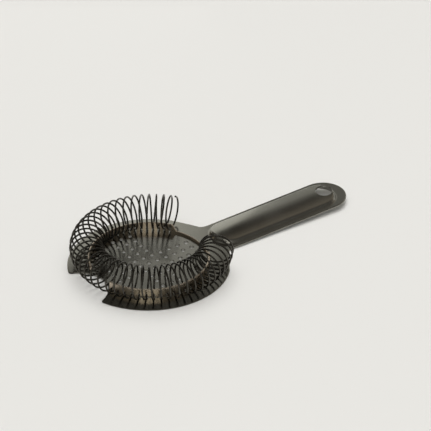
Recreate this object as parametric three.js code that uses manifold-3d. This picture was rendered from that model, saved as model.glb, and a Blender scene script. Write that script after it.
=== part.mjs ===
// Hawthorne strainer: a pressed steel plate with a perforated disc, a low slotted collar round
// the disc, a raised handle with a hanging hole, and a long wire coil that runs round the plate
// from one side of the handle to the other, threaded through the collar.
// Millimetres. +X points along the handle, +Z up, coil side up.
// The origin is on the surface it stands on, under the middle of its outline.
import * as THREE from 'three';
import Module from 'manifold-3d';
import { mergeVertices } from 'three/addons/utils/BufferGeometryUtils.js';

// ---- driving dimensions ----
const sheet = 1.0;              // thickness of the pressed sheet
const gap = 0.3;                // clearance kept between neighbouring solids

const rimRadius = 40;           // outer edge of the plate
const openingRadius = 30.3;     // inner edge of the rim, round the disc
const flatStart = 42;           // degrees from the handle where the rim's edge runs straight

const notchRadius = 14.7;       // pouring notch opposite the handle
const notchCentre = 41;         // its centre, out from the middle of the plate
const notchCorner = 2.2;        // rounding of the two points beside it

const holeRadius = 1.05;        // perforations
const holePitch = 5;            // square grid
const crossReach = 5;           // grid steps from the middle to the end of each arm
const crossHalfWidth = 1;       // grid steps either side of an arm's centre line

const collarRadius = 29.9;      // outer face of the low wall inside the coil
const collarWall = 0.8;         // its thickness
const collarHeight = 4.4;       // above the rim's face, where the coil is
const lipHeight = 1.2;          // the same, beside the handle
const collarFirst = 32;         // degrees round the plate, where the tall part begins
const collarLast = 334;
const slotWidth = 1.6;          // one slot for each turn of the coil
const slotRoom = 1;             // from the middle of the wire to the top of its slot

const handleStart = 36.3;       // all handle lengths are out from the middle of the plate
const handleHalfWidth = 11.85;
const handleEndCentre = 103.7;  // centre of the round end
const neckStart = 38.2;         // where the handle's edge leaves the rim
const neckHalfWidth = 13.2;
const neckEnd = 42.5;           // end of the small fillet at the neck
const handleRise = 0.03;        // slope of the handle away from the plate
const slopeStart = 40;          // where that slope begins
const crownHalfWidth = 10;      // raised middle of the handle, round at both ends
const crownStart = 37;
const crownEnd = 110;
const crownHeight = 2.9;        // along its centre line
const crownShoulder = 1.1;      // at the top of its side walls
const crownWall = 1.6;          // width of the side walls
const hangHoleX = 104.4;
const hangHoleRadius = 4.25;

const coilShift = 1.6;          // middle of the coil's ring, from the middle of the plate
const coilRingRadius = 31.7;    // ring that the coil's centre line follows
const coilRadius = 8.2;         // one turn, to the middle of the wire
const wireRadius = 0.44;
const coilLift = 8.95;          // height of the coil's centre line above the rim's face
const coilFirstAngle = 38;      // degrees round the ring, first bottom point
const coilSweep = 286;          // degrees from the first bottom point to the last
const coilSwell = 4;            // degrees that the turns spread out towards the notch
const coilTurns = 45;
const turnsPerSection = 3;
const tailTurns = 0.42;         // each end climbs most of the way back up
const tailAdvance = 0.1;        // how far a tail moves on round the ring, against an ordinary turn
const wireSides = 6;
const stepsPerTurn = 12;

const roundSides = 72;          // sides of the large circles
const holeSides = 8;
const hangHoleSides = 24;
const arcSteps = 10;            // along each round end of the handle
const edgeSegments = 24;        // along each curve of the rim's edge
const crownInsets = [0, crownWall / 2, crownWall, 4, 7];
const halvings = 30;            // steps that home in on where a wire meets the collar
const wellClear = 5;            // how far a cutting tool reaches past the sheet

// ---- places worked out from them ----
const rimTop = sheet;
const handleEnd = handleEndCentre + handleHalfWidth;
const coilFront = coilShift - coilRingRadius - coilRadius - wireRadius;
const plateX = -(handleEnd + coilFront) / 2;
const radians = THREE.MathUtils.degToRad;

const wasm = await Module();
wasm.setup();

// ---- materials ----
const steel = new THREE.MeshStandardMaterial({ color: 0x8e8d84, roughness: 0.38, metalness: 0.9 });
const discSteel = new THREE.MeshStandardMaterial({ color: 0x84837b, roughness: 0.32, metalness: 0.9 });
const handleSteel = new THREE.MeshStandardMaterial({ color: 0x95948a, roughness: 0.42, metalness: 0.9 });
const wireSteel = new THREE.MeshStandardMaterial({ color: 0x5f5c53, roughness: 0.3, metalness: 0.95 });

// ---- solids and booleans ----
function toSolid(geometry) {
  const bare = geometry.clone();
  bare.deleteAttribute('normal');
  bare.deleteAttribute('uv');
  const merged = mergeVertices(bare, 1e-4);
  return new wasm.Manifold(new wasm.Mesh({
    numProp: 3,
    vertProperties: new Float32Array(merged.attributes.position.array),
    triVerts: new Uint32Array(merged.index.array),
  }));
}

function toGeometry(solid) {
  const mesh = solid.getMesh();
  const geometry = new THREE.BufferGeometry();
  geometry.setAttribute('position', new THREE.BufferAttribute(new Float32Array(mesh.vertProperties), 3));
  geometry.setIndex(new THREE.BufferAttribute(new Uint32Array(mesh.triVerts), 1));
  geometry.computeVertexNormals();
  return geometry;
}

function upright(radius, low, high, x, y, sides) {
  const geometry = new THREE.CylinderGeometry(radius, radius, high - low, sides);
  geometry.rotateX(Math.PI / 2);
  geometry.translate(x, y, (low + high) / 2);
  return toSolid(geometry);
}

function notchCutter(margin) {
  const high = rimTop + collarHeight + wellClear;
  return upright(notchRadius + margin, -wellClear, high, -notchCentre, 0, roundSides);
}

// ---- rim plate ----
// Half width of the plate where its edge runs straight from the rim's circle to the neck.
function straightEdge(x) {
  const rimX = rimRadius * Math.cos(radians(flatStart));
  const rimY = rimRadius * Math.sin(radians(flatStart));
  return THREE.MathUtils.mapLinear(x, rimX, neckStart, rimY, neckHalfWidth);
}

function rimOutline() {
  // where the notch circle meets the rim circle, seen from each centre
  const meetX = (rimRadius ** 2 + notchCentre ** 2 - notchRadius ** 2) / (2 * notchCentre);
  const meetAngle = Math.acos(meetX / rimRadius);
  const notchAngle = Math.asin(rimRadius * Math.sin(meetAngle) / notchRadius);
  const rimTurn = notchCorner / rimRadius;
  const notchTurn = notchCorner / notchRadius;
  const lobe = Math.PI - meetAngle - rimTurn;
  const notchEdge = notchAngle - notchTurn;
  const splitX = handleStart - gap;

  const outline = new THREE.Shape();
  outline.moveTo(splitX, -straightEdge(splitX));
  outline.lineTo(splitX, straightEdge(splitX));
  outline.absarc(0, 0, rimRadius, radians(flatStart), lobe, false);
  outline.quadraticCurveTo(
    -meetX, rimRadius * Math.sin(meetAngle),
    -notchCentre + notchRadius * Math.cos(notchEdge), notchRadius * Math.sin(notchEdge));
  outline.absarc(-notchCentre, 0, notchRadius, notchEdge, -notchEdge, true);
  outline.quadraticCurveTo(
    -meetX, -rimRadius * Math.sin(meetAngle),
    rimRadius * Math.cos(lobe), -rimRadius * Math.sin(lobe));
  outline.absarc(0, 0, rimRadius, -lobe, -radians(flatStart), false);
  outline.closePath();
  return outline;
}

function rimPlate() {
  const settings = { depth: sheet, bevelEnabled: false, curveSegments: edgeSegments };
  const flat = new THREE.ExtrudeGeometry(rimOutline(), settings);
  const opening = upright(openingRadius, -wellClear, rimTop + wellClear, 0, 0, roundSides);
  return toGeometry(toSolid(flat).subtract(opening));
}

// ---- perforated disc ----
function inCross(column, row) {
  const edgeX = holePitch * column - holeRadius - 2 * gap;
  const onArm = Math.abs(column) <= crossHalfWidth || Math.abs(row) <= crossHalfWidth;
  return onArm && edgeX >= notchRadius - notchCentre;
}

function perforatedDisc() {
  let disc = upright(openingRadius - gap, 0, sheet, 0, 0, roundSides).subtract(notchCutter(0));
  for (let column = -crossReach; column <= crossReach; column += 1) {
    for (let row = -crossReach; row <= crossReach; row += 1) {
      if (inCross(column, row)) {
        const [x, y] = [holePitch * column, holePitch * row];
        disc = disc.subtract(upright(holeRadius, -wellClear, sheet + wellClear, x, y, holeSides));
      }
    }
  }
  return toGeometry(disc);
}

// ---- collar ----
// A block whose near end is centred on the Z axis, reaching out along a direction in plan.
function radialBlock(width, low, high, angle) {
  const geometry = new THREE.BoxGeometry(rimRadius, width, high - low);
  geometry.translate(rimRadius / 2, 0, (low + high) / 2);
  geometry.rotateZ(angle);
  return toSolid(geometry);
}

// The point at which one turn of the coil, on its way inward, meets the middle of the collar's wall.
function crossingPoint(turn) {
  let [outer, inner] = [turn, turn + 1 / 4];
  const middle = collarRadius - collarWall / 2;
  for (let step = 0; step < halvings; step += 1) {
    const half = (outer + inner) / 2;
    const point = wirePoint(half);
    if (Math.hypot(point.x, point.y) > middle) {
      outer = half;
    } else {
      inner = half;
    }
  }
  return wirePoint(outer);
}

function coilCollar() {
  const low = sheet + gap;
  const high = rimTop + collarHeight;
  const outside = upright(collarRadius, low, high, 0, 0, roundSides);
  const inside = upright(collarRadius - collarWall, -wellClear, high + wellClear, 0, 0, roundSides);
  let collar = outside.subtract(inside).subtract(notchCutter(2 * gap));
  // beside the handle only a lip is left
  const sector = new THREE.Shape();
  sector.moveTo(0, 0);
  sector.absarc(0, 0, rimRadius, radians(collarLast - 360), radians(collarFirst), false);
  sector.closePath();
  const above = new THREE.ExtrudeGeometry(sector, { depth: collarHeight, bevelEnabled: false });
  above.translate(0, 0, rimTop + lipHeight);
  collar = collar.subtract(toSolid(above));
  for (let turn = 0; turn <= coilTurns; turn += 1) {
    const { x, y, z } = crossingPoint(turn);
    collar = collar.subtract(radialBlock(slotWidth, -wellClear, z + slotRoom, Math.atan2(y, x)));
  }
  return toGeometry(collar);
}

// ---- handle ----
// Height of the handle's upper face over the rim's face: its slope, and its raised middle.
function handleHeight(x, y) {
  const nose = crownStart + crownHalfWidth;
  const tail = crownEnd - crownHalfWidth;
  const past = Math.max(nose - x, 0, x - tail);
  const inside = crownHalfWidth - Math.hypot(past, y);
  const wall = THREE.MathUtils.smoothstep(inside, 0, crownWall);
  const bulge = 1 - (y / crownHalfWidth) ** 2;
  const raised = wall * THREE.MathUtils.lerp(crownShoulder, crownHeight, bulge);
  return handleRise * Math.max(x - slopeStart, 0) + raised;
}

// Closed ring of points in plan, a given distance in from the edge of the raised middle.
function crownRing(inset) {
  const half = crownHalfWidth - inset;
  const nose = crownStart + crownHalfWidth;
  const tail = crownEnd - crownHalfWidth;
  const points = [];
  for (let step = 0; step <= arcSteps; step += 1) {
    const angle = -Math.PI / 2 - Math.PI * step / arcSteps;
    points.push([nose + half * Math.cos(angle), half * Math.sin(angle)]);
  }
  for (let step = 0; step <= arcSteps; step += 1) {
    const angle = Math.PI / 2 - Math.PI * step / arcSteps;
    points.push([tail + half * Math.cos(angle), half * Math.sin(angle)]);
  }
  return points;
}

// The handle's edge, with as many points as a crown ring and in the same order.
function edgeRing() {
  const inner = [
    [crownStart + crownHalfWidth, handleHalfWidth],
    [neckEnd, handleHalfWidth],
    [neckStart, neckHalfWidth],
    [handleStart, straightEdge(handleStart)],
    [handleStart, neckHalfWidth / 3],
  ];
  const near = inner.map(([x, y]) => [x, -y]);
  const points = [...near, [handleStart, 0], ...inner.reverse()];
  for (let step = 0; step <= arcSteps; step += 1) {
    const angle = Math.PI / 2 - Math.PI * step / arcSteps;
    points.push([handleEndCentre + handleHalfWidth * Math.cos(angle), handleHalfWidth * Math.sin(angle)]);
  }
  return points;
}

function handlePlate() {
  const plan = [edgeRing(), ...crownInsets.map(crownRing)];
  const rise = (points, lift) => points.map(([x, y]) => [x, y, rimTop + handleHeight(x, y) + lift]);
  const top = plan.map((points) => rise(points, 0));
  const under = plan.map((points) => rise(points, -sheet));
  const rings = plan.length;
  const count = plan[0].length;
  const below = rings * count;
  const positions = [...top, ...under].flat(2);
  const indices = [];
  const quad = (a, b, c, d) => indices.push(a, c, b, a, d, c);
  for (let ring = 0; ring < rings - 1; ring += 1) {
    for (let index = 0; index < count; index += 1) {
      const next = (index + 1) % count;
      const outer = ring * count;
      const inner = outer + count;
      quad(outer + index, outer + next, inner + next, inner + index);
      quad(below + outer + next, below + outer + index, below + inner + index, below + inner + next);
    }
  }
  for (let index = 0; index < count; index += 1) {
    const next = (index + 1) % count;
    quad(below + index, below + next, next, index);
  }
  // the innermost ring is closed across, from its near side to its far side
  const last = (rings - 1) * count;
  const arc = count / 2;
  for (let step = 0; step < arc - 1; step += 1) {
    const near = last + (arc - 1 - step) % count;
    const nearNext = near - 1;
    const far = last + arc + step;
    const farNext = far + 1;
    quad(nearNext, near, far, farNext);
    quad(below + near, below + nearNext, below + farNext, below + far);
  }
  const geometry = new THREE.BufferGeometry();
  geometry.setAttribute('position', new THREE.Float32BufferAttribute(positions, 3));
  geometry.setIndex(indices);
  const high = rimTop + crownHeight + 2 * wellClear;
  const hangHole = upright(hangHoleRadius, -wellClear, high, hangHoleX, 0, hangHoleSides);
  return toGeometry(toSolid(geometry).subtract(hangHole));
}

// ---- coil ----
// Angle round the ring after a number of turns, counted from the first bottom point.
function ringAngle(turn) {
  const whole = THREE.MathUtils.clamp(turn, 0, coilTurns);
  const advanced = whole + tailAdvance * (turn - whole);
  const spread = Math.sin(2 * Math.PI * whole / coilTurns);
  return radians(coilFirstAngle + coilSweep * advanced / coilTurns - coilSwell * spread);
}

// The wire goes in from the bottom point, up the inner side and back down the outer side.
function wirePoint(turn, target = new THREE.Vector3()) {
  const around = ringAngle(turn);
  const roll = -Math.PI / 2 - 2 * Math.PI * turn;
  const radius = coilRingRadius + coilRadius * Math.cos(roll);
  return target.set(
    coilShift + radius * Math.cos(around),
    radius * Math.sin(around),
    rimTop + coilLift + coilRadius * Math.sin(roll));
}

class CoilWire extends THREE.Curve {
  constructor(firstTurn, lastTurn) {
    super();
    this.firstTurn = firstTurn;
    this.lastTurn = lastTurn;
  }

  getPoint(t, target) {
    return wirePoint(THREE.MathUtils.lerp(this.firstTurn, this.lastTurn, t), target);
  }
}

function wireSection(firstTurn, lastTurn) {
  const section = new THREE.Shape();
  for (let side = 0; side < wireSides; side += 1) {
    const angle = 2 * Math.PI * side / wireSides;
    const corner = [wireRadius * Math.cos(angle), wireRadius * Math.sin(angle)];
    if (side === 0) {
      section.moveTo(...corner);
    } else {
      section.lineTo(...corner);
    }
  }
  section.closePath();
  return new THREE.ExtrudeGeometry(section, {
    steps: Math.round((lastTurn - firstTurn) * stepsPerTurn),
    extrudePath: new CoilWire(firstTurn, lastTurn),
    bevelEnabled: false,
  });
}

// ---- assembly ----
const group = new THREE.Group();
const plate = new THREE.Group();
plate.position.x = plateX;
group.add(plate);

function addPiece(name, geometry, material) {
  const mesh = new THREE.Mesh(geometry, material);
  mesh.name = name;
  plate.add(mesh);
}

addPiece('rim_plate', rimPlate(), steel);
addPiece('perforated_disc', perforatedDisc(), discSteel);
addPiece('coil_collar', coilCollar(), steel);
addPiece('handle', handlePlate(), handleSteel);

const sectionCount = coilTurns / turnsPerSection;
const halfCut = gap / 2 / (2 * Math.PI * coilRadius);
for (let index = 0; index < sectionCount; index += 1) {
  const isFirst = index === 0;
  const isLast = index === sectionCount - 1;
  const firstTurn = index * turnsPerSection + (isFirst ? -tailTurns : halfCut);
  const lastTurn = (index + 1) * turnsPerSection + (isLast ? tailTurns : -halfCut);
  const name = `coil_section_${String(index + 1).padStart(2, '0')}`;
  addPiece(name, wireSection(firstTurn, lastTurn), wireSteel);
}

export default group;
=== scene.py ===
import math

import bmesh
import bpy
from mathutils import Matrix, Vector
from mathutils.geometry import delaunay_2d_cdt


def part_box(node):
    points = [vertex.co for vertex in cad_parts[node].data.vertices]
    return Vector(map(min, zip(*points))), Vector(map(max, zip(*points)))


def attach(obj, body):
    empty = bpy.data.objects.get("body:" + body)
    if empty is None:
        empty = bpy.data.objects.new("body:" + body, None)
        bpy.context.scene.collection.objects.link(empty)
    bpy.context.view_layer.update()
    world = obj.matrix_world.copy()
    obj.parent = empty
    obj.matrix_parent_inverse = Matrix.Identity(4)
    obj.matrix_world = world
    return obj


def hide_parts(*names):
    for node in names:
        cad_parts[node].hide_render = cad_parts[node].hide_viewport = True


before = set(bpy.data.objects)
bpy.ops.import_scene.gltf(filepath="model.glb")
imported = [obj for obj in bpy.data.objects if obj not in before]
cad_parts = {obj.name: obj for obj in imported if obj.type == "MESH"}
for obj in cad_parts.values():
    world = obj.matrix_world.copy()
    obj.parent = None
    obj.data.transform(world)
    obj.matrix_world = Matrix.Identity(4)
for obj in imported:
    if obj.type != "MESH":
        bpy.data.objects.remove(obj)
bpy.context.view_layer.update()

mm = 0.001

# places that come from the frame
rimLow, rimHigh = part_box("rim_plate")
discLow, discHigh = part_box("perforated_disc")
handleLow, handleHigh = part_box("handle")
plateX = discHigh.x - discHigh.y  # middle of the plate, along the handle
rimTop = rimHigh.z  # face of the rim, on the coil's side
rimRadius = rimHigh.y / mm
discTop = discHigh.z
handleTip = (handleHigh.x - plateX) / mm
print("frame read: plate", round(rimRadius * 2, 1), "mm across, handle tip at", round(handleTip, 1))


# camera, light and floor
cameraSettings = {
    "azimuth": -33.75,  # degrees round the object
    "elevation": 33.25,
    "distance": 2.0,
    "lens": 341.2,
    "sensor": 36.0,
    "aimRight": 0.03256,  # from the middle of the plate to the middle of the frame
    "aimUp": 0.02311,
}


def makeCamera():
    s = cameraSettings
    a, e = math.radians(s["azimuth"]), math.radians(s["elevation"])
    back = Vector((math.sin(a) * math.cos(e), -math.cos(a) * math.cos(e), math.sin(e)))
    right = Vector((math.cos(a), math.sin(a), 0))
    up = back.cross(right)
    data = bpy.data.cameras.new("camera")
    data.lens = s["lens"]
    data.sensor_width = s["sensor"]
    data.clip_start, data.clip_end = 0.05, 20
    camera = bpy.data.objects.new("camera", data)
    camera.rotation_mode = "QUATERNION"
    camera.rotation_quaternion = (-back).to_track_quat("-Z", "Y")
    aim = Vector((plateX, 0, rimTop)) + right * s["aimRight"] + up * s["aimUp"]
    camera.location = aim + back * s["distance"]
    bpy.context.collection.objects.link(camera)
    bpy.context.scene.camera = camera
    return back


lightSettings = {
    # the room's light by direction: from the camera's side (0) to the far side, to the right (1)
    "room": [(0.0, (0.24, 0.235, 0.22, 1)), (0.40, (0.13, 0.125, 0.115, 1)), (0.60, (0.12, 0.11, 0.10, 1)),
             (0.76, (0.27, 0.24, 0.20, 1)), (0.82, (0.31, 0.28, 0.24, 1)), (0.92, (0.43, 0.425, 0.395, 1))],
    "brightAzimuth": 45,  # degrees from the handle's direction
    "shadeAzimuth": 75,  # dark part of the room, high on the far side
    "shadeHeight": 50,
    "shadeFrom": 0.90,  # cosines of the angle from its middle
    "shadeTo": 0.97,
    "shade": 0.15,
    "backCard": {"away": 0.25, "left": -0.14, "right": 0.03, "low": 0.0, "high": 0.17, "radiance": 0.5,
                 "colour": (1.0, 0.995, 0.95)},
    "frontCard": {"away": -0.32, "left": -0.12, "right": 0.12, "low": 0.14, "high": 0.28, "radiance": 1.5,
                  "colour": (1.0, 0.97, 0.92)},
    "fillSun": {"towards": (0.1, 0.15, 1.0), "angle": 90, "strength": 1.5, "throughPieces": True},
    "backSun": {"towards": (0.40, 0.60, 1.2), "angle": 40, "strength": 1.38, "throughPieces": False},
    "floorColour": (0.80, 0.795, 0.77, 1),
}


def direction(azimuth, elevation=0):
    a, e = math.radians(azimuth), math.radians(elevation)
    return Vector((math.cos(a) * math.cos(e), math.sin(a) * math.cos(e), math.sin(e)))


def makeRoom():
    s = lightSettings
    world = bpy.data.worlds.new("room")
    bpy.context.scene.world = world
    world.use_nodes = True
    nodes, links = world.node_tree.nodes, world.node_tree.links
    place = nodes.new("ShaderNodeTexCoord")

    def facing(way):
        node = nodes.new("ShaderNodeVectorMath")
        node.operation = "DOT_PRODUCT"
        node.inputs[1].default_value = way
        links.new(place.outputs["Generated"], node.inputs[0])
        return node.outputs["Value"]

    side = nodes.new("ShaderNodeMapRange")
    side.inputs["From Min"].default_value = -1
    links.new(facing(direction(s["brightAzimuth"])), side.inputs["Value"])
    ramp = nodes.new("ShaderNodeValToRGB")
    ramp.color_ramp.interpolation = "EASE"
    while len(ramp.color_ramp.elements) < len(s["room"]):
        ramp.color_ramp.elements.new(0.5)
    for element, (position, colour) in zip(ramp.color_ramp.elements, s["room"]):
        element.position = position
        element.color = colour
    links.new(side.outputs["Result"], ramp.inputs["Fac"])
    shade = nodes.new("ShaderNodeMapRange")
    shade.interpolation_type = "SMOOTHSTEP"
    shade.inputs["From Min"].default_value = s["shadeFrom"]
    shade.inputs["From Max"].default_value = s["shadeTo"]
    shade.inputs["To Min"].default_value = 1
    shade.inputs["To Max"].default_value = s["shade"]
    links.new(facing(direction(s["shadeAzimuth"], s["shadeHeight"])), shade.inputs["Value"])
    links.new(ramp.outputs["Color"], nodes["Background"].inputs["Color"])
    links.new(shade.outputs["Result"], nodes["Background"].inputs["Strength"])


def addLight(name, data):
    light = bpy.data.objects.new(name, data)
    light.rotation_mode = "QUATERNION"
    light.visible_camera = False
    bpy.context.collection.objects.link(light)
    return light


def makeSun(name):
    s = lightSettings[name]
    data = bpy.data.lights.new(name, "SUN")
    data.energy = s["strength"]
    data.angle = math.radians(s["angle"])
    light = addLight(name, data)
    if s["throughPieces"]:
        blockers = bpy.data.collections.new(name + "Blockers")
        blockers.objects.link(floorPiece)
        light.light_linking.blocker_collection = blockers
    light.rotation_quaternion = Vector(s["towards"]).to_track_quat("Z", "Y")
    light.visible_glossy = False


def makeCard(name, towardCamera):
    # a glowing card that only shows in the metal, upright and facing the plate
    s = lightSettings[name]
    away = -Vector((towardCamera.x, towardCamera.y, 0)).normalized()
    right = Vector((away.y, -away.x, 0))
    data = bpy.data.lights.new(name, "AREA")
    data.shape = "RECTANGLE"
    data.size, data.size_y = s["right"] - s["left"], s["high"] - s["low"]
    data.energy = s["radiance"] * math.pi * data.size * data.size_y
    data.color = s["colour"]
    light = addLight(name, data)
    light.location = Vector((plateX, 0, 0)) + away * s["away"] + right * (s["left"] + s["right"]) / 2
    light.location.z = (s["low"] + s["high"]) / 2
    light.rotation_quaternion = (away * s["away"]).to_track_quat("Z", "Y")
    light.visible_diffuse = False


def makeFloor():
    mesh = bpy.data.meshes.new("floor")
    half = 6
    corners = [(-half, -half), (half, -half), (half, half), (-half, half)]
    mesh.from_pydata([(x, y, -0.00005) for x, y in corners], [], [(0, 1, 2, 3)])
    floor = bpy.data.objects.new("floor", mesh)
    bpy.context.collection.objects.link(floor)
    material = bpy.data.materials.new("palePaper")
    material.use_nodes = True
    shader = material.node_tree.nodes["Principled BSDF"]
    shader.inputs["Base Color"].default_value = lightSettings["floorColour"]
    shader.inputs["Roughness"].default_value = 0.9
    mesh.materials.append(material)
    return floor


towardCamera = makeCamera()
makeRoom()
floorPiece = makeFloor()
makeSun("fillSun")
makeSun("backSun")
makeCard("backCard", towardCamera)
makeCard("frontCard", towardCamera)
bpy.context.scene.view_settings.view_transform = "Standard"
print("camera, room, lights and floor made")


# finishes
pattern = {
    "grainDetail": 5.0,
    "grainRoughness": 0.65,
    "grainShare": 0.35,  # how much the grain changes the tone, against the patches
    "bump": 0.35,
    "patchDetail": 6.0,
    "patchDistortion": 0.6,
    "darkAt": 0.38,
    "lightAt": 0.82,
    "glossSpread": (0.8, 1.3),  # times a finish's roughness, from patch to patch
}
finishes = {
    "plateSteel": {"light": (0.335, 0.33, 0.295, 1), "dark": (0.265, 0.26, 0.225, 1), "roughness": 0.19,
                   "grain": (30, 420, 420), "grainDepth": 0.000002, "patches": 45},
    "discSteel": {"light": (0.32, 0.315, 0.285, 1), "dark": (0.265, 0.26, 0.23, 1), "roughness": 0.2,
                  "grain": (40, 300, 300), "grainDepth": 0.000001, "patches": 60},
    # the collar's steel is painted lighter and browner than the plate's steel: a painted reflection of the
    # pale floor in its upright wall
    "collarSteelPaintedReflection": {"light": (0.66, 0.57, 0.46, 1), "dark": (0.55, 0.47, 0.37, 1), "roughness": 0.25,
                    "grain": (300, 300, 300), "grainDepth": 0.000001, "patches": 60},
    "wireSteel": {"light": (0.085, 0.08, 0.068, 1), "dark": (0.045, 0.041, 0.034, 1), "roughness": 0.27,
                  "grain": (900, 900, 900), "grainDepth": 0.000001, "patches": 200},
}


def makeFinish(name):
    s = finishes[name]
    material = bpy.data.materials.new(name)
    material.use_nodes = True
    nodes, links = material.node_tree.nodes, material.node_tree.links
    shader = nodes["Principled BSDF"]
    shader.inputs["Metallic"].default_value = 1.0
    place = nodes.new("ShaderNodeTexCoord")
    stretch = nodes.new("ShaderNodeMapping")  # long grain along the handle
    stretch.inputs["Scale"].default_value = s["grain"]
    links.new(place.outputs["Object"], stretch.inputs["Vector"])
    grain = nodes.new("ShaderNodeTexNoise")
    grain.inputs["Scale"].default_value = 1.0
    grain.inputs["Detail"].default_value = pattern["grainDetail"]
    grain.inputs["Roughness"].default_value = pattern["grainRoughness"]
    links.new(stretch.outputs["Vector"], grain.inputs["Vector"])
    patches = nodes.new("ShaderNodeTexNoise")  # handling marks and tarnish
    patches.inputs["Scale"].default_value = s["patches"]
    patches.inputs["Detail"].default_value = pattern["patchDetail"]
    patches.inputs["Distortion"].default_value = pattern["patchDistortion"]
    links.new(place.outputs["Object"], patches.inputs["Vector"])
    tone = nodes.new("ShaderNodeMath")
    tone.operation = "MULTIPLY_ADD"
    tone.inputs[1].default_value = pattern["grainShare"]
    links.new(grain.outputs["Fac"], tone.inputs[0])
    links.new(patches.outputs["Fac"], tone.inputs[2])
    ramp = nodes.new("ShaderNodeValToRGB")
    ramp.color_ramp.elements[0].position = pattern["darkAt"]
    ramp.color_ramp.elements[0].color = s["dark"]
    ramp.color_ramp.elements[1].position = pattern["lightAt"]
    ramp.color_ramp.elements[1].color = s["light"]
    links.new(tone.outputs[0], ramp.inputs["Fac"])
    links.new(ramp.outputs["Color"], shader.inputs["Base Color"])
    rough = nodes.new("ShaderNodeMapRange")
    rough.inputs["From Min"].default_value = 0.3
    rough.inputs["From Max"].default_value = 0.7
    rough.inputs["To Min"].default_value = s["roughness"] * pattern["glossSpread"][0]
    rough.inputs["To Max"].default_value = s["roughness"] * pattern["glossSpread"][1]
    links.new(patches.outputs["Fac"], rough.inputs["Value"])
    links.new(rough.outputs["Result"], shader.inputs["Roughness"])
    bump = nodes.new("ShaderNodeBump")
    bump.inputs["Strength"].default_value = pattern["bump"]
    bump.inputs["Distance"].default_value = s["grainDepth"]
    links.new(grain.outputs["Fac"], bump.inputs["Height"])
    links.new(bump.outputs["Normal"], shader.inputs["Normal"])
    return material


plateSteel = makeFinish("plateSteel")
discSteel = makeFinish("discSteel")
collarSteelPaintedReflection = makeFinish("collarSteelPaintedReflection")
wireSteel = makeFinish("wireSteel")
print("finishes made")


# pressed plate with its handle
pressing = {  # millimetres, from the middle of the plate
    "sheet": 1.0,
    "edgeRound": 0.3,
    "openingRadius": 30.3,
    "rimFall": 0.6,  # how far the rim's face falls by its outer edge
    "rimFallStart": 31,
    "rimFallEnd": 24,  # where the fall starts to fade out, towards the handle
    "rimFallFade": 14,
    "flatStart": 42,  # degrees, where the rim's edge starts to run straight
    "neckStart": 38.2,
    "neckHalfWidth": 13.2,
    "neckEnd": 42.5,
    "neckPull": 1.4,  # how far along the fillet's corner lies
    "notchRadius": 14.7,
    "notchCentre": 41,
    "notchCorner": 2.2,
    "handleHalfWidth": 11.85,
    "slopeStart": 40,
    "handleRise": 0.03,
    "crownHalfWidth": 10,
    "crownStart": 37,
    "crownEnd": 110,
    "crownHeight": 2.9,
    "crownShoulder": 1.1,
    "crownWall": 1.6,
    "hangHoleX": 104.4,
    "hangHoleRadius": 4.25,
    "spacing": 0.8,  # between points on curves
    "crownInsets": (-0.5, 0, 0.2, 0.4, 0.65, 0.95, 1.25, 1.6, 2.0, 2.6, 3.4, 4.4, 5.4, 6.4, 7.4, 8.4, 9.3),
}


def smoothStep(value, low, high):
    t = min(max((value - low) / (high - low), 0), 1)
    return t * t * (3 - 2 * t)


def arcPoints(centreX, radius, start, end, spacing):
    # points on an arc about (centreX, 0), angles in radians
    count = max(2, round(abs(end - start) * radius / spacing))
    angles = [start + (end - start) * i / count for i in range(count + 1)]
    return [(centreX + radius * math.cos(t), radius * math.sin(t)) for t in angles]


def linePoints(start, end, spacing):
    count = max(1, round(math.dist(start, end) / spacing))
    return [(start[0] + (end[0] - start[0]) * i / count, start[1] + (end[1] - start[1]) * i / count)
            for i in range(count + 1)]


def bendPoints(start, control, end, count=8):
    # a rounded corner between two points, pulled towards a third
    points = []
    for i in range(count + 1):
        t = i / count
        a, b, c = (1 - t) ** 2, 2 * t * (1 - t), t * t
        points.append((a * start[0] + b * control[0] + c * end[0],
                       a * start[1] + b * control[1] + c * end[1]))
    return points


def upperHalfEdge():
    # the edge on the +Y side, from the handle's tip round to the opening, then back along the opening
    s = pressing
    step = s["spacing"]
    half = s["handleHalfWidth"]
    endCentre = handleTip - half
    flat = math.radians(s["flatStart"])
    rimStart = (rimRadius * math.cos(flat), rimRadius * math.sin(flat))
    meetX = (rimRadius ** 2 + s["notchCentre"] ** 2 - s["notchRadius"] ** 2) / (2 * s["notchCentre"])
    meetAngle = math.acos(meetX / rimRadius)
    notchAngle = math.asin(rimRadius * math.sin(meetAngle) / s["notchRadius"])
    lobe = math.pi - meetAngle - s["notchCorner"] / rimRadius
    notchEdge = notchAngle - s["notchCorner"] / s["notchRadius"]
    openingX = s["openingRadius"] ** 2 + s["notchCentre"] ** 2 - s["notchRadius"] ** 2
    openingX /= 2 * s["notchCentre"]
    openingMeet = math.acos(openingX / s["openingRadius"])
    notchInner = math.asin(s["openingRadius"] * math.sin(openingMeet) / s["notchRadius"])

    tip = arcPoints(endCentre, half, 0, math.pi / 2, step)
    side = linePoints((endCentre, half), (s["neckEnd"], half), 3)
    neck = bendPoints((s["neckEnd"], half), (s["neckStart"] + s["neckPull"], half),
                      (s["neckStart"], s["neckHalfWidth"]))
    flatEdge = linePoints((s["neckStart"], s["neckHalfWidth"]), rimStart, 1.5)
    rim = arcPoints(0, rimRadius, flat, lobe, step)
    notchPoint = (-s["notchCentre"] + s["notchRadius"] * math.cos(notchEdge),
                  s["notchRadius"] * math.sin(notchEdge))
    corner = bendPoints(rim[-1], (-meetX, rimRadius * math.sin(meetAngle)), notchPoint)
    notch = arcPoints(-s["notchCentre"], s["notchRadius"], notchEdge, notchInner, step)
    opening = arcPoints(0, s["openingRadius"], math.pi - openingMeet, 0, step)
    points = []
    for run in (tip, side, neck, flatEdge, rim, corner, notch, opening):
        points += run[1:] if points else run
    return points


def mirrored(points):
    return [(x, -y) for x, y in reversed(points)]


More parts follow.
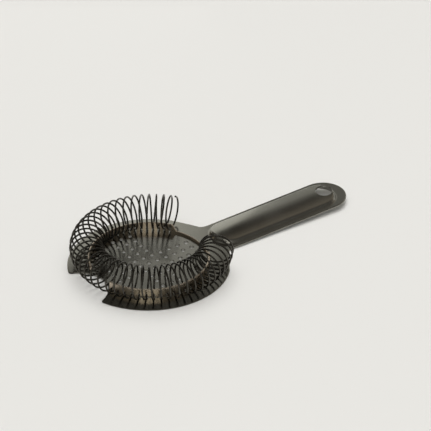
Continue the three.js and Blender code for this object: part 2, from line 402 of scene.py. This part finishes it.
def insetLoop(loop, distance):
    # the same loop moved towards the material, which lies on its left
    moved = []
    count = len(loop)
    for i, (x, y) in enumerate(loop):
        before, after = loop[i - 1], loop[(i + 1) % count]
        first = Vector((x - before[0], y - before[1])).normalized()
        second = Vector((after[0] - x, after[1] - y)).normalized()
        normal = Vector((-first.y - second.y, first.x + second.x)).normalized()
        reach = distance / max(normal.dot(Vector((-first.y, first.x))), 0.4)
        moved.append((x + normal.x * reach, y + normal.y * reach))
    return moved


def crownLoop(inset):
    # outline of the handle's raised middle, a distance in from its edge
    s = pressing
    half = s["crownHalfWidth"] - inset
    nose = s["crownStart"] + s["crownHalfWidth"]
    tail = s["crownEnd"] - s["crownHalfWidth"]
    spacing = max(0.35, min(1.1, half / 6))
    end = arcPoints(tail, half, -math.pi / 2, math.pi / 2, spacing)
    back = linePoints((tail, half), (nose, half), 2)
    start = arcPoints(nose, half, math.pi / 2, 1.5 * math.pi, spacing)
    out = linePoints((nose, -half), (tail, -half), 2)
    return end + back[1:] + start[1:] + out[1:-1]


def pressedHeight(x, y):
    # height of the upper face over the rim's face
    s = pressing
    nose = s["crownStart"] + s["crownHalfWidth"]
    tail = s["crownEnd"] - s["crownHalfWidth"]
    past = max(nose - x, 0, x - tail)
    inside = s["crownHalfWidth"] - math.hypot(past, y)
    wall = smoothStep(inside, 0, s["crownWall"])
    bulge = 1 - (y / s["crownHalfWidth"]) ** 2
    raised = wall * (s["crownShoulder"] + (s["crownHeight"] - s["crownShoulder"]) * bulge)
    return s["handleRise"] * max(x - s["slopeStart"], 0) + raised


def rimFall(x, y):
    s = pressing
    share = min(max((math.hypot(x, y) - s["rimFallStart"]) / (rimRadius - s["rimFallStart"]), 0), 1)
    return s["rimFall"] * share * (1 - smoothStep(x, s["rimFallEnd"], s["rimFallEnd"] + s["rimFallFade"]))


def edgeDrop(distance):
    # how far a rounded edge falls, a distance in from the sheet's cut edge
    radius = pressing["edgeRound"]
    return radius - math.sqrt(max(radius ** 2 - max(radius - distance, 0) ** 2, 0))


def makePressing():
    s = pressing
    upper = upperHalfEdge()
    edge = upper[:-1] + mirrored(upper)[:-1]  # both halves share the tip and the recess's near point
    insets = [0, 0.3 * s["edgeRound"], s["edgeRound"], 2.2 * s["edgeRound"]]
    points, constraints, drops = [], [], []

    def addLoop(loop, drop):
        first = len(points)
        points.extend(Vector(point) for point in loop)
        drops.extend([drop] * len(loop))
        constraints.extend((first + i, first + (i + 1) % len(loop)) for i in range(len(loop)))

    for inset in insets:
        addLoop(insetLoop(edge, inset) if inset else edge, edgeDrop(inset))
    for inset in s["crownInsets"]:
        addLoop(crownLoop(inset), 0)
    for inset in insets:
        addLoop(arcPoints(s["hangHoleX"], s["hangHoleRadius"] + inset, 0, 2 * math.pi, 0.5)[:-1], 0)
    result = delaunay_2d_cdt(points, constraints, [], 1, 1e-5)
    flat, triangles, origins = result[0], result[2], result[3]

    heights = []
    for point, origin in zip(flat, origins):
        fromHole = math.dist(point, (s["hangHoleX"], 0)) - s["hangHoleRadius"]
        drop = max([edgeDrop(max(fromHole, 0))] + [drops[i] for i in origin])
        heights.append((pressedHeight(*point), drop))

    body = bmesh.new()
    high, low = [], []
    for point, (height, drop) in zip(flat, heights):
        x, y = plateX + point.x * mm, point.y * mm
        high.append(body.verts.new((x, y, rimTop + (height - drop - rimFall(*point)) * mm)))
        low.append(body.verts.new((x, y, rimTop + (height - s["sheet"] + drop) * mm)))
    borders = {}
    for a, b, c in triangles:
        middle = (flat[a] + flat[b] + flat[c]) / 3
        if math.dist(middle, (s["hangHoleX"], 0)) < s["hangHoleRadius"]:
            continue
        if (flat[b] - flat[a]).cross(flat[c] - flat[a]) < 0:
            b, c = c, b
        body.faces.new((high[a], high[b], high[c]))
        body.faces.new((low[c], low[b], low[a]))
        for edgeEnds in ((a, b), (b, c), (c, a)):
            if edgeEnds[::-1] in borders:
                del borders[edgeEnds[::-1]]
            else:
                borders[edgeEnds] = True
    for a, b in borders:
        body.faces.new((high[a], low[a], low[b], high[b]))
    loose = [vert for vert in body.verts if not vert.link_faces]
    bmesh.ops.delete(body, geom=loose, context="VERTS")
    for face in body.faces:
        face.smooth = True
    mesh = bpy.data.meshes.new("pressed_plate")
    body.to_mesh(mesh)
    body.free()
    mesh.materials.append(plateSteel)
    plate = bpy.data.objects.new("pressed_plate", mesh)
    bpy.context.collection.objects.link(plate)
    print("pressing made:", len(mesh.polygons), "faces")
    return plate


plate = makePressing()
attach(plate, "plate")
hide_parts("rim_plate", "handle")


# node tree helpers
def newTree(name, inputs):
    tree = bpy.data.node_groups.new(name, "GeometryNodeTree")
    tree.interface.new_socket("Geometry", in_out="INPUT", socket_type="NodeSocketGeometry")
    tree.interface.new_socket("Geometry", in_out="OUTPUT", socket_type="NodeSocketGeometry")
    for label, kind in inputs:
        tree.interface.new_socket(label, in_out="INPUT", socket_type=kind)
    source = tree.nodes.new("NodeGroupInput")
    target = tree.nodes.new("NodeGroupOutput")
    return tree, source.outputs, target.inputs


def addNode(tree, kind, settings=None, **links):
    # makes a node, sets its properties, and feeds its inputs by name
    node = tree.nodes.new(kind)
    for key, value in (settings or {}).items():
        setattr(node, key, value)
    for label, value in links.items():
        feed(tree, node.inputs[label.replace("_", " ")], value)
    return node


def feed(tree, socket, value):
    if isinstance(value, bpy.types.NodeSocket):
        tree.links.new(value, socket)
    else:
        socket.default_value = value


def calc(tree, operation, *values):
    node = tree.nodes.new("ShaderNodeMath")
    node.operation = operation
    for socket, value in zip(node.inputs, values):
        feed(tree, socket, value)
    return node.outputs[0]


def vector(tree, x, y, z):
    node = tree.nodes.new("ShaderNodeCombineXYZ")
    for socket, value in zip(node.inputs, (x, y, z)):
        feed(tree, socket, value)
    return node.outputs[0]


def pointPosition(tree):
    # the position of each point, as three separate numbers
    position = tree.nodes.new("GeometryNodeInputPosition")
    return addNode(tree, "ShaderNodeSeparateXYZ", Vector=position.outputs[0])


def finishTree(tree, geometry, material, target):
    solid = addNode(tree, "GeometryNodeRealizeInstances", Geometry=geometry)
    dressed = addNode(tree, "GeometryNodeSetMaterial", Geometry=solid.outputs[0], Material=material)
    tree.links.new(dressed.outputs[0], target["Geometry"])


def grow(name, tree, values, extras=()):
    # runs a node tree on an empty mesh and keeps the result as a plain mesh
    base = bpy.data.objects.new(name + "_seed", bpy.data.meshes.new(name + "_seed"))
    bpy.context.collection.objects.link(base)
    modifier = base.modifiers.new("nodes", "NODES")
    modifier.node_group = tree
    for item in tree.interface.items_tree:
        if item.item_type == "SOCKET" and item.in_out == "INPUT" and item.name in values:
            modifier[item.identifier] = values[item.name]
    for kind, settings in extras:
        extra = base.modifiers.new(kind, kind)
        for key, value in settings.items():
            setattr(extra, key, value)
    graph = bpy.context.evaluated_depsgraph_get()
    mesh = bpy.data.meshes.new_from_object(base.evaluated_get(graph), depsgraph=graph)
    mesh.name = name
    bpy.data.objects.remove(base)
    piece = bpy.data.objects.new(name, mesh)
    bpy.context.collection.objects.link(piece)
    return piece


# perforated disc
disc = {  # metres, as the tree's inputs
    "Radius": discHigh.y + 0.15 * mm,
    "Thickness": discHigh.z - discLow.z,
    "Centre X": plateX,
    "Top": discTop,
    "Pitch": 5 * mm,
    "Reach": 5,  # steps of the grid from the middle to the end of an arm
    "Arm": 1,  # steps either side of an arm's centre line
    "Hole Radius": 1.02 * mm,
    "Hole Round": 0.22 * mm,
    "Notch Radius": pressing["notchRadius"] * mm,
    "Notch Centre": pressing["notchCentre"] * mm,
    "Material": discSteel,
}
discSides = {"edge": 192, "notch": 128, "hole": 28, "holeRings": 24}


def discTree():
    kinds = {"Reach": "NodeSocketInt", "Arm": "NodeSocketInt", "Material": "NodeSocketMaterial"}
    tree, given, target = newTree("perforations", [(key, kinds.get(key, "NodeSocketFloat")) for key in disc])
    middle = calc(tree, "MULTIPLY", given["Thickness"], -0.5)
    blank = addNode(tree, "GeometryNodeMeshCylinder", Vertices=discSides["edge"], Radius=given["Radius"],
                    Depth=given["Thickness"])
    notchCut = addNode(tree, "GeometryNodeMeshCylinder", Vertices=discSides["notch"],
                       Radius=given["Notch Radius"], Depth=0.02)
    notchPlace = vector(tree, calc(tree, "MULTIPLY", given["Notch Centre"], -1), 0, 0)
    notchMoved = addNode(tree, "GeometryNodeTransform", Geometry=notchCut.outputs["Mesh"],
                         Translation=notchPlace)

    # one cutter, waisted in the sheet and flared at both faces, so each hole gets rolled edges
    cutter = addNode(tree, "GeometryNodeMeshCylinder", Vertices=discSides["hole"],
                     Side_Segments=discSides["holeRings"], Radius=1.0,
                     Depth=calc(tree, "MULTIPLY", given["Thickness"], 1.6))
    place = pointPosition(tree)
    x, y, z = place.outputs
    halfSheet = calc(tree, "MULTIPLY", given["Thickness"], 0.5)
    straight = calc(tree, "SUBTRACT", halfSheet, given["Hole Round"])
    depth = calc(tree, "SUBTRACT", calc(tree, "ABSOLUTE", z), straight)
    depth = calc(tree, "MINIMUM", calc(tree, "MAXIMUM", depth, 0.0), given["Hole Round"])
    roundSquare = calc(tree, "MULTIPLY", given["Hole Round"], given["Hole Round"])
    bow = calc(tree, "SQRT", calc(tree, "SUBTRACT", roundSquare, calc(tree, "MULTIPLY", depth, depth)))
    radius = calc(tree, "SUBTRACT", calc(tree, "ADD", given["Hole Radius"], given["Hole Round"]), bow)
    waist = vector(tree, calc(tree, "MULTIPLY", x, radius), calc(tree, "MULTIPLY", y, radius), z)
    shaped = addNode(tree, "GeometryNodeSetPosition", Geometry=cutter.outputs["Mesh"], Position=waist)

    # a square grid of points, kept where they lie on an arm and clear of the notch
    side = calc(tree, "MULTIPLY", given["Reach"], 2)
    count = calc(tree, "ADD", side, 1)
    size = calc(tree, "MULTIPLY", side, given["Pitch"])
    grid = addNode(tree, "GeometryNodeMeshGrid", Size_X=size, Size_Y=size, Vertices_X=count, Vertices_Y=count)
    spot = pointPosition(tree)
    armEdge = calc(tree, "MULTIPLY", calc(tree, "ADD", given["Arm"], 0.5), given["Pitch"])
    alongX = calc(tree, "LESS_THAN", calc(tree, "ABSOLUTE", spot.outputs[1]), armEdge)
    alongY = calc(tree, "LESS_THAN", calc(tree, "ABSOLUTE", spot.outputs[0]), armEdge)
    notchEdge = calc(tree, "SUBTRACT", given["Notch Radius"], given["Notch Centre"])
    clear = calc(tree, "GREATER_THAN", spot.outputs[0],
                 calc(tree, "ADD", notchEdge, calc(tree, "MULTIPLY", given["Hole Radius"], 1.5)))
    chosen = calc(tree, "MULTIPLY", calc(tree, "MAXIMUM", alongX, alongY), clear)
    holes = addNode(tree, "GeometryNodeInstanceOnPoints", Points=grid.outputs["Mesh"], Selection=chosen,
                    Instance=shaped.outputs[0])
    cutters = addNode(tree, "GeometryNodeRealizeInstances", Geometry=holes.outputs[0])
    joined = addNode(tree, "GeometryNodeJoinGeometry")
    tree.links.new(cutters.outputs[0], joined.inputs[0])
    tree.links.new(notchMoved.outputs[0], joined.inputs[0])
    cut = addNode(tree, "GeometryNodeMeshBoolean", {"operation": "DIFFERENCE", "solver": "EXACT"})
    tree.links.new(blank.outputs["Mesh"], cut.inputs["Mesh 1"])
    tree.links.new(joined.outputs[0], cut.inputs["Mesh 2"])
    smooth = addNode(tree, "GeometryNodeSetShadeSmooth", Geometry=cut.outputs["Mesh"])
    lift = vector(tree, given["Centre X"], 0, calc(tree, "ADD", given["Top"], middle))
    placed = addNode(tree, "GeometryNodeTransform", Geometry=smooth.outputs[0], Translation=lift)
    finishTree(tree, placed.outputs[0], given["Material"], target)
    return tree


discPiece = grow("perforated_sheet", discTree(), disc, [
    ("BEVEL", {"width": 0.2 * mm, "segments": 3, "limit_method": "ANGLE", "angle_limit": math.radians(50)}),
    ("WEIGHTED_NORMAL", {"mode": "FACE_AREA", "weight": 80, "keep_sharp": True}),
])
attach(discPiece, "plate")
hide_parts("perforated_disc")
print("disc made:", len(discPiece.data.polygons), "faces")


# coil
coil = {  # metres and degrees, as the tree's inputs
    "Centre X": plateX + 1.6 * mm,
    "Ring Radius": 31.7 * mm,
    "Coil Radius": 8.2 * mm,
    "Centre Height": rimTop + 8.95 * mm,
    "Wire Radius": 0.44 * mm,
    "First Angle": 38.0,
    "Sweep": 286.0,
    "Swell": 4.0,  # degrees that the turns spread out towards the notch
    "Turns": 45.0,
    "Tail Advance": 0.1,  # how far a tail moves on round the ring, against an ordinary turn
    "Steps Per Turn": 44.0,
    "Material": wireSteel,
}
turnsPerSection = 3
tailTurns = 0.42  # part-turn past each end
wireSides = 10


def coilTree():
    labels = [(key, "NodeSocketMaterial" if key == "Material" else "NodeSocketFloat") for key in coil]
    labels += [("First", "NodeSocketFloat"), ("Last", "NodeSocketFloat")]
    tree, given, target = newTree("coiledWire", labels)
    turnCount = calc(tree, "SUBTRACT", given["Last"], given["First"])
    steps = calc(tree, "ROUND", calc(tree, "MULTIPLY", turnCount, given["Steps Per Turn"]))
    line = addNode(tree, "GeometryNodeCurvePrimitiveLine", End=(1, 0, 0))
    fine = addNode(tree, "GeometryNodeResampleCurve", Curve=line.outputs[0],
                   Count=calc(tree, "ADD", steps, 1))
    index = tree.nodes.new("GeometryNodeInputIndex").outputs[0]
    along = calc(tree, "DIVIDE", index, steps)
    turn = calc(tree, "MULTIPLY_ADD", along, turnCount, given["First"])
    whole = calc(tree, "MINIMUM", calc(tree, "MAXIMUM", turn, 0), given["Turns"])
    advanced = calc(tree, "MULTIPLY_ADD", calc(tree, "SUBTRACT", turn, whole), given["Tail Advance"], whole)
    share = calc(tree, "DIVIDE", advanced, given["Turns"])
    spread = calc(tree, "MULTIPLY", calc(tree, "DIVIDE", whole, given["Turns"]), 2 * math.pi)
    swell = calc(tree, "MULTIPLY", calc(tree, "SINE", spread), given["Swell"])
    evenly = calc(tree, "MULTIPLY_ADD", share, given["Sweep"], given["First Angle"])
    angle = calc(tree, "SUBTRACT", evenly, swell)
    angle = calc(tree, "RADIANS", angle)
    roll = calc(tree, "MULTIPLY_ADD", turn, -2 * math.pi, -0.5 * math.pi)
    radius = calc(tree, "MULTIPLY_ADD", calc(tree, "COSINE", roll), given["Coil Radius"],
                  given["Ring Radius"])
    x = calc(tree, "MULTIPLY_ADD", radius, calc(tree, "COSINE", angle), given["Centre X"])
    y = calc(tree, "MULTIPLY", radius, calc(tree, "SINE", angle))
    z = calc(tree, "MULTIPLY_ADD", calc(tree, "SINE", roll), given["Coil Radius"], given["Centre Height"])
    path = addNode(tree, "GeometryNodeSetPosition", Geometry=fine.outputs[0], Position=vector(tree, x, y, z))
    section = addNode(tree, "GeometryNodeCurvePrimitiveCircle", Resolution=wireSides,
                      Radius=given["Wire Radius"])
    wire = addNode(tree, "GeometryNodeCurveToMesh", Curve=path.outputs[0], Profile_Curve=section.outputs[0],
                   Fill_Caps=True)
    smooth = addNode(tree, "GeometryNodeSetShadeSmooth", Geometry=wire.outputs[0])
    finishTree(tree, smooth.outputs[0], given["Material"], target)
    return tree


coilNodes = sorted(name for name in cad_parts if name.startswith("coil_section"))
wireTree = coilTree()
for number, node in enumerate(coilNodes):
    first = number * turnsPerSection - (tailTurns if number == 0 else 0)
    last = (number + 1) * turnsPerSection + (tailTurns if number == len(coilNodes) - 1 else 0)
    wire = grow("wire" + node[-3:], wireTree, {**coil, "First": float(first), "Last": float(last)})
    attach(wire, "coil" + node[-3:])
    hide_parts(node)
print("coil made:", len(coilNodes), "sections")

# collar that the coil is threaded through
collar = {  # millimetres and degrees
    "outside": 29.9,
    "wall": 0.8,
    "height": 4.4,  # above the rim's face
    "lip": 1.2,  # beside the handle
    "firstAngle": 32,
    "lastAngle": 334,
    "notchClear": 0.6,
    "slotWidth": 1.3,
    "slotRoom": 0.85,  # from the middle of the wire to the top of its slot
    "edgeRound": 0.25,
    "stepAngle": 1.2,
    "leastStep": 0.25,  # degrees between stations
    "halvings": 30,  # steps that home in on a crossing
    "ramp": 5,  # degrees over which the wall sinks to the lip
}


def wirePoint(turn):
    c = coil
    whole = min(max(turn, 0), c["Turns"])
    share = (whole + c["Tail Advance"] * (turn - whole)) / c["Turns"]
    swell = c["Swell"] * math.sin(2 * math.pi * whole / c["Turns"])
    around = math.radians(c["First Angle"] + c["Sweep"] * share - swell)
    roll = -math.pi / 2 - 2 * math.pi * turn
    radius = c["Ring Radius"] + c["Coil Radius"] * math.cos(roll)
    height = c["Centre Height"] + c["Coil Radius"] * math.sin(roll)
    return c["Centre X"] - plateX + radius * math.cos(around), radius * math.sin(around), height


def crossing(turn):
    # where a turn of the coil passes inward through the wall: degrees round the plate, height over the rim
    outer, inner = turn, turn + 0.25
    middle = (collar["outside"] - collar["wall"] / 2) * mm
    for _ in range(collar["halvings"]):
        half = (outer + inner) / 2
        if math.hypot(*wirePoint(half)[:2]) > middle:
            outer = half
        else:
            inner = half
    x, y, z = wirePoint(outer)
    return math.degrees(math.atan2(y, x)), (z - rimTop) / mm


def makeCollar():
    s = collar
    notchReach = pressing["notchRadius"] + s["notchClear"]
    notchCentre = pressing["notchCentre"]
    edgeX = (s["outside"] ** 2 + notchCentre ** 2 - notchReach ** 2) / (2 * notchCentre)
    end = 180 - math.degrees(math.acos(edgeX / s["outside"]))
    half = math.degrees(s["slotWidth"] / 2 / (s["outside"] - s["wall"] / 2))
    crossings = sorted(crossing(turn) for turn in range(int(coil["Turns"]) + 1))
    crossings = [(angle, height) for angle, height in crossings if abs(angle) < end - half]
    slots = [angle for angle, height in crossings]
    marks = {-end, end}
    for angle in slots:
        marks |= {angle - half, angle + half}
    steps = int(2 * end / s["stepAngle"])
    for i in range(1, steps):
        angle = -end + 2 * end * i / steps
        if min(abs(angle - mark) for mark in marks) > s["leastStep"]:
            marks.add(angle)
    stations = sorted(marks)
    outer, inner, edge = s["outside"], s["outside"] - s["wall"], s["edgeRound"]
    body = bmesh.new()
    rings = []
    for angle in stations:
        farFoot, nearFoot = s["firstAngle"] - s["ramp"] / 2, 360 - s["lastAngle"] - s["ramp"] / 2
        tall = max(smoothStep(angle, farFoot, farFoot + s["ramp"]),
                   smoothStep(-angle, nearFoot, nearFoot + s["ramp"]))
        top = s["lip"] + (s["height"] - s["lip"]) * tall
        nearest = min(crossings, key=lambda place: abs(place[0] - angle))
        slotTop = min(nearest[1] + s["slotRoom"], top - 2 * edge)
        profile = [(outer, 0), (outer, slotTop), (outer, top - edge), (outer - 0.3 * edge, top - 0.3 * edge),
                   (outer - edge, top), (inner + edge, top), (inner + 0.3 * edge, top - 0.3 * edge),
                   (inner, top - edge), (inner, slotTop), (inner, 0)]
        turn = math.radians(angle)
        across, along = math.cos(turn) * mm, math.sin(turn) * mm
        rings.append([body.verts.new((plateX + r * across, r * along, rimTop + z * mm)) for r, z in profile])
    last = len(rings[0]) - 1
    isOpen = [any(abs((a + b) / 2 - angle) < half for angle in slots) for a, b in zip(stations, stations[1:])]
    for i, isSlot in enumerate(isOpen):
        here, there = rings[i], rings[i + 1]
        for k in range(last):
            if isSlot and k in (0, last - 1):
                continue
            body.faces.new((here[k], there[k], there[k + 1], here[k + 1]))
        low = (1, last - 1) if isSlot else (0, last)
        body.faces.new((here[low[1]], there[low[1]], there[low[0]], here[low[0]]))
    for i, ring in enumerate(rings):
        before = isOpen[i - 1] if i else None
        after = isOpen[i] if i < len(isOpen) else None
        if before is None or after is None:
            body.faces.new(ring)
        elif before != after:
            body.faces.new((ring[0], ring[1], ring[last - 1], ring[last]))
    bmesh.ops.recalc_face_normals(body, faces=body.faces)
    mesh = bpy.data.meshes.new("collar")
    body.to_mesh(mesh)
    body.free()
    for face in mesh.polygons:
        face.use_smooth = True
    mesh.materials.append(collarSteelPaintedReflection)
    piece = bpy.data.objects.new("collar", mesh)
    bpy.context.collection.objects.link(piece)
    normals = piece.modifiers.new("normals", "WEIGHTED_NORMAL")
    normals.keep_sharp = True
    mesh.set_sharp_from_angle(angle=math.radians(50))
    return piece


collarPiece = makeCollar()
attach(collarPiece, "plate")
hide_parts("coil_collar")
print("collar made:", len(collarPiece.data.polygons), "faces")
